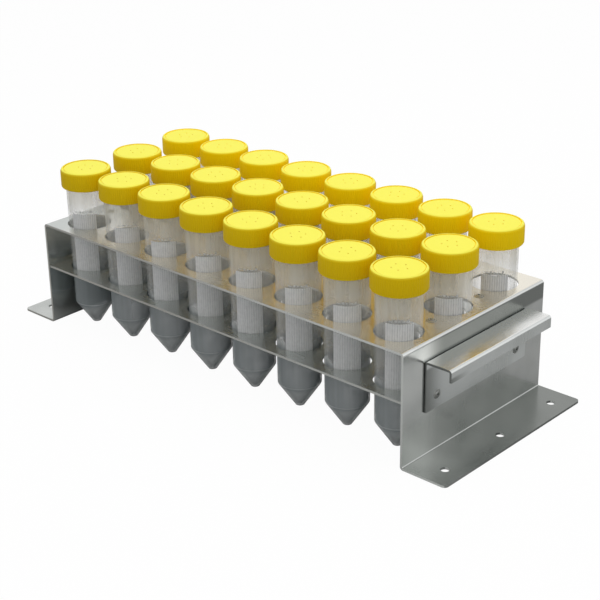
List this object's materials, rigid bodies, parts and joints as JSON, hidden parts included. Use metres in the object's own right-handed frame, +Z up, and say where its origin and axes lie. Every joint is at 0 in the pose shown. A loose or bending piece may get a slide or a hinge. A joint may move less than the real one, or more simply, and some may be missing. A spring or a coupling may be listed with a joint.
{
  "type": "tube rack",
  "caption": "Folded steel rack with a perforated plate and shelf, bolt-down feet and end handles, loaded with upright conical tubes under vented screw caps.",
  "frame": {"origin": "middle of the rack's footprint, on the plane its feet rest on", "axes": "+X along the rack, +Y across it to the rear, +Z up"},
  "size_m": [0.388, 0.142, 0.117],
  "materials": {
    "steel": "satin",
    "rivet_steel": "satin",
    "clear_plastic": "gloss",
    "yellow_plastic": "satin",
    "membrane": "matte"
  },
  "bodies": {
    "rack": {"rack_frame": "steel", "tube_shelf": "steel", "handle_right": "steel", "handle_left": "steel", "plate_rivets": "rivet_steel", "handle_rivets": "rivet_steel", "tubes_a": "clear_plastic", "tubes_b": "clear_plastic", "tubes_c": "clear_plastic"},
    "membrane_a1": {"membrane_a1": "membrane"},
    "cap_a1": {"cap_a1": "yellow_plastic"},
    "membrane_a2": {"membrane_a2": "membrane"},
    "cap_a2": {"cap_a2": "yellow_plastic"},
    "membrane_a3": {"membrane_a3": "membrane"},
    "cap_a3": {"cap_a3": "yellow_plastic"},
    "membrane_a4": {"membrane_a4": "membrane"},
    "cap_a4": {"cap_a4": "yellow_plastic"},
    "membrane_a5": {"membrane_a5": "membrane"},
    "cap_a5": {"cap_a5": "yellow_plastic"},
    "membrane_a6": {"membrane_a6": "membrane"},
    "cap_a6": {"cap_a6": "yellow_plastic"},
    "membrane_a7": {"membrane_a7": "membrane"},
    "cap_a7": {"cap_a7": "yellow_plastic"},
    "membrane_a8": {"membrane_a8": "membrane"},
    "cap_a8": {"cap_a8": "yellow_plastic"},
    "membrane_b1": {"membrane_b1": "membrane"},
    "cap_b1": {"cap_b1": "yellow_plastic"},
    "membrane_b2": {"membrane_b2": "membrane"},
    "cap_b2": {"cap_b2": "yellow_plastic"},
    "membrane_b3": {"membrane_b3": "membrane"},
    "cap_b3": {"cap_b3": "yellow_plastic"},
    "membrane_b4": {"membrane_b4": "membrane"},
    "cap_b4": {"cap_b4": "yellow_plastic"},
    "membrane_b5": {"membrane_b5": "membrane"},
    "cap_b5": {"cap_b5": "yellow_plastic"},
    "membrane_b6": {"membrane_b6": "membrane"},
    "cap_b6": {"cap_b6": "yellow_plastic"},
    "membrane_b7": {"membrane_b7": "membrane"},
    "cap_b7": {"cap_b7": "yellow_plastic"},
    "membrane_b8": {"membrane_b8": "membrane"},
    "cap_b8": {"cap_b8": "yellow_plastic"},
    "membrane_c1": {"membrane_c1": "membrane"},
    "cap_c1": {"cap_c1": "yellow_plastic"},
    "membrane_c2": {"membrane_c2": "membrane"},
    "cap_c2": {"cap_c2": "yellow_plastic"},
    "membrane_c3": {"membrane_c3": "membrane"},
    "cap_c3": {"cap_c3": "yellow_plastic"},
    "membrane_c4": {"membrane_c4": "membrane"},
    "cap_c4": {"cap_c4": "yellow_plastic"},
    "membrane_c5": {"membrane_c5": "membrane"},
    "cap_c5": {"cap_c5": "yellow_plastic"},
    "membrane_c6": {"membrane_c6": "membrane"},
    "cap_c6": {"cap_c6": "yellow_plastic"},
    "membrane_c7": {"membrane_c7": "membrane"},
    "cap_c7": {"cap_c7": "yellow_plastic"},
    "membrane_c8": {"membrane_c8": "membrane"},
    "cap_c8": {"cap_c8": "yellow_plastic"}
  },
  "joints": [
    {"name": "rise_a1", "type": "slide", "parent": "rack", "child": "membrane_a1", "axis": [0, 0, 1], "range_m": [0, 0.004]},
    {"name": "turn_a1", "type": "hinge", "parent": "membrane_a1", "child": "cap_a1", "pos_m": [-0.14, -0.048, 0.11], "axis": [0, 0, 1], "range_deg": [0, 360]},
    {"name": "rise_a2", "type": "slide", "parent": "rack", "child": "membrane_a2", "axis": [0, 0, 1], "range_m": [0, 0.004]},
    {"name": "turn_a2", "type": "hinge", "parent": "membrane_a2", "child": "cap_a2", "pos_m": [-0.1, -0.048, 0.11], "axis": [0, 0, 1], "range_deg": [0, 360]},
    {"name": "rise_a3", "type": "slide", "parent": "rack", "child": "membrane_a3", "axis": [0, 0, 1], "range_m": [0, 0.004]},
    {"name": "turn_a3", "type": "hinge", "parent": "membrane_a3", "child": "cap_a3", "pos_m": [-0.06, -0.048, 0.11], "axis": [0, 0, 1], "range_deg": [0, 360]},
    {"name": "rise_a4", "type": "slide", "parent": "rack", "child": "membrane_a4", "axis": [0, 0, 1], "range_m": [0, 0.004]},
    {"name": "turn_a4", "type": "hinge", "parent": "membrane_a4", "child": "cap_a4", "pos_m": [-0.02, -0.048, 0.11], "axis": [0, 0, 1], "range_deg": [0, 360]},
    {"name": "rise_a5", "type": "slide", "parent": "rack", "child": "membrane_a5", "axis": [0, 0, 1], "range_m": [0, 0.004]},
    {"name": "turn_a5", "type": "hinge", "parent": "membrane_a5", "child": "cap_a5", "pos_m": [0.02, -0.048, 0.11], "axis": [0, 0, 1], "range_deg": [0, 360]},
    {"name": "rise_a6", "type": "slide", "parent": "rack", "child": "membrane_a6", "axis": [0, 0, 1], "range_m": [0, 0.004]},
    {"name": "turn_a6", "type": "hinge", "parent": "membrane_a6", "child": "cap_a6", "pos_m": [0.06, -0.048, 0.11], "axis": [0, 0, 1], "range_deg": [0, 360]},
    {"name": "rise_a7", "type": "slide", "parent": "rack", "child": "membrane_a7", "axis": [0, 0, 1], "range_m": [0, 0.004]},
    {"name": "turn_a7", "type": "hinge", "parent": "membrane_a7", "child": "cap_a7", "pos_m": [0.1, -0.048, 0.11], "axis": [0, 0, 1], "range_deg": [0, 360]},
    {"name": "rise_a8", "type": "slide", "parent": "rack", "child": "membrane_a8", "axis": [0, 0, 1], "range_m": [0, 0.004]},
    {"name": "turn_a8", "type": "hinge", "parent": "membrane_a8", "child": "cap_a8", "pos_m": [0.14, -0.048, 0.11], "axis": [0, 0, 1], "range_deg": [0, 360]},
    {"name": "rise_b1", "type": "slide", "parent": "rack", "child": "membrane_b1", "axis": [0, 0, 1], "range_m": [0, 0.004]},
    {"name": "turn_b1", "type": "hinge", "parent": "membrane_b1", "child": "cap_b1", "pos_m": [-0.14, 0, 0.11], "axis": [0, 0, 1], "range_deg": [0, 360]},
    {"name": "rise_b2", "type": "slide", "parent": "rack", "child": "membrane_b2", "axis": [0, 0, 1], "range_m": [0, 0.004]},
    {"name": "turn_b2", "type": "hinge", "parent": "membrane_b2", "child": "cap_b2", "pos_m": [-0.1, 0, 0.11], "axis": [0, 0, 1], "range_deg": [0, 360]},
    {"name": "rise_b3", "type": "slide", "parent": "rack", "child": "membrane_b3", "axis": [0, 0, 1], "range_m": [0, 0.004]},
    {"name": "turn_b3", "type": "hinge", "parent": "membrane_b3", "child": "cap_b3", "pos_m": [-0.06, 0, 0.11], "axis": [0, 0, 1], "range_deg": [0, 360]},
    {"name": "rise_b4", "type": "slide", "parent": "rack", "child": "membrane_b4", "axis": [0, 0, 1], "range_m": [0, 0.004]},
    {"name": "turn_b4", "type": "hinge", "parent": "membrane_b4", "child": "cap_b4", "pos_m": [-0.02, 0, 0.11], "axis": [0, 0, 1], "range_deg": [0, 360]},
    {"name": "rise_b5", "type": "slide", "parent": "rack", "child": "membrane_b5", "axis": [0, 0, 1], "range_m": [0, 0.004]},
    {"name": "turn_b5", "type": "hinge", "parent": "membrane_b5", "child": "cap_b5", "pos_m": [0.02, 0, 0.11], "axis": [0, 0, 1], "range_deg": [0, 360]},
    {"name": "rise_b6", "type": "slide", "parent": "rack", "child": "membrane_b6", "axis": [0, 0, 1], "range_m": [0, 0.004]},
    {"name": "turn_b6", "type": "hinge", "parent": "membrane_b6", "child": "cap_b6", "pos_m": [0.06, 0, 0.11], "axis": [0, 0, 1], "range_deg": [0, 360]},
    {"name": "rise_b7", "type": "slide", "parent": "rack", "child": "membrane_b7", "axis": [0, 0, 1], "range_m": [0, 0.004]},
    {"name": "turn_b7", "type": "hinge", "parent": "membrane_b7", "child": "cap_b7", "pos_m": [0.1, 0, 0.11], "axis": [0, 0, 1], "range_deg": [0, 360]},
    {"name": "rise_b8", "type": "slide", "parent": "rack", "child": "membrane_b8", "axis": [0, 0, 1], "range_m": [0, 0.004]},
    {"name": "turn_b8", "type": "hinge", "parent": "membrane_b8", "child": "cap_b8", "pos_m": [0.14, 0, 0.11], "axis": [0, 0, 1], "range_deg": [0, 360]},
    {"name": "rise_c1", "type": "slide", "parent": "rack", "child": "membrane_c1", "axis": [0, 0, 1], "range_m": [0, 0.004]},
    {"name": "turn_c1", "type": "hinge", "parent": "membrane_c1", "child": "cap_c1", "pos_m": [-0.14, 0.048, 0.11], "axis": [0, 0, 1], "range_deg": [0, 360]},
    {"name": "rise_c2", "type": "slide", "parent": "rack", "child": "membrane_c2", "axis": [0, 0, 1], "range_m": [0, 0.004]},
    {"name": "turn_c2", "type": "hinge", "parent": "membrane_c2", "child": "cap_c2", "pos_m": [-0.1, 0.048, 0.11], "axis": [0, 0, 1], "range_deg": [0, 360]},
    {"name": "rise_c3", "type": "slide", "parent": "rack", "child": "membrane_c3", "axis": [0, 0, 1], "range_m": [0, 0.004]},
    {"name": "turn_c3", "type": "hinge", "parent": "membrane_c3", "child": "cap_c3", "pos_m": [-0.06, 0.048, 0.11], "axis": [0, 0, 1], "range_deg": [0, 360]},
    {"name": "rise_c4", "type": "slide", "parent": "rack", "child": "membrane_c4", "axis": [0, 0, 1], "range_m": [0, 0.004]},
    {"name": "turn_c4", "type": "hinge", "parent": "membrane_c4", "child": "cap_c4", "pos_m": [-0.02, 0.048, 0.11], "axis": [0, 0, 1], "range_deg": [0, 360]},
    {"name": "rise_c5", "type": "slide", "parent": "rack", "child": "membrane_c5", "axis": [0, 0, 1], "range_m": [0, 0.004]},
    {"name": "turn_c5", "type": "hinge", "parent": "membrane_c5", "child": "cap_c5", "pos_m": [0.02, 0.048, 0.11], "axis": [0, 0, 1], "range_deg": [0, 360]},
    {"name": "rise_c6", "type": "slide", "parent": "rack", "child": "membrane_c6", "axis": [0, 0, 1], "range_m": [0, 0.004]},
    {"name": "turn_c6", "type": "hinge", "parent": "membrane_c6", "child": "cap_c6", "pos_m": [0.06, 0.048, 0.11], "axis": [0, 0, 1], "range_deg": [0, 360]},
    {"name": "rise_c7", "type": "slide", "parent": "rack", "child": "membrane_c7", "axis": [0, 0, 1], "range_m": [0, 0.004]},
    {"name": "turn_c7", "type": "hinge", "parent": "membrane_c7", "child": "cap_c7", "pos_m": [0.1, 0.048, 0.11], "axis": [0, 0, 1], "range_deg": [0, 360]},
    {"name": "rise_c8", "type": "slide", "parent": "rack", "child": "membrane_c8", "axis": [0, 0, 1], "range_m": [0, 0.004]},
    {"name": "turn_c8", "type": "hinge", "parent": "membrane_c8", "child": "cap_c8", "pos_m": [0.14, 0.048, 0.11], "axis": [0, 0, 1], "range_deg": [0, 360]}
  ],
  "couplings": [
    {"joint": "rise_a1", "follows": "turn_a1", "m_per_rad": 0.00063662},
    {"joint": "rise_a2", "follows": "turn_a2", "m_per_rad": 0.00063662},
    {"joint": "rise_a3", "follows": "turn_a3", "m_per_rad": 0.00063662},
    {"joint": "rise_a4", "follows": "turn_a4", "m_per_rad": 0.00063662},
    {"joint": "rise_a5", "follows": "turn_a5", "m_per_rad": 0.00063662},
    {"joint": "rise_a6", "follows": "turn_a6", "m_per_rad": 0.00063662},
    {"joint": "rise_a7", "follows": "turn_a7", "m_per_rad": 0.00063662},
    {"joint": "rise_a8", "follows": "turn_a8", "m_per_rad": 0.00063662},
    {"joint": "rise_b1", "follows": "turn_b1", "m_per_rad": 0.00063662},
    {"joint": "rise_b2", "follows": "turn_b2", "m_per_rad": 0.00063662},
    {"joint": "rise_b3", "follows": "turn_b3", "m_per_rad": 0.00063662},
    {"joint": "rise_b4", "follows": "turn_b4", "m_per_rad": 0.00063662},
    {"joint": "rise_b5", "follows": "turn_b5", "m_per_rad": 0.00063662},
    {"joint": "rise_b6", "follows": "turn_b6", "m_per_rad": 0.00063662},
    {"joint": "rise_b7", "follows": "turn_b7", "m_per_rad": 0.00063662},
    {"joint": "rise_b8", "follows": "turn_b8", "m_per_rad": 0.00063662},
    {"joint": "rise_c1", "follows": "turn_c1", "m_per_rad": 0.00063662},
    {"joint": "rise_c2", "follows": "turn_c2", "m_per_rad": 0.00063662},
    {"joint": "rise_c3", "follows": "turn_c3", "m_per_rad": 0.00063662},
    {"joint": "rise_c4", "follows": "turn_c4", "m_per_rad": 0.00063662},
    {"joint": "rise_c5", "follows": "turn_c5", "m_per_rad": 0.00063662},
    {"joint": "rise_c6", "follows": "turn_c6", "m_per_rad": 0.00063662},
    {"joint": "rise_c7", "follows": "turn_c7", "m_per_rad": 0.00063662},
    {"joint": "rise_c8", "follows": "turn_c8", "m_per_rad": 0.00063662}
  ]
}
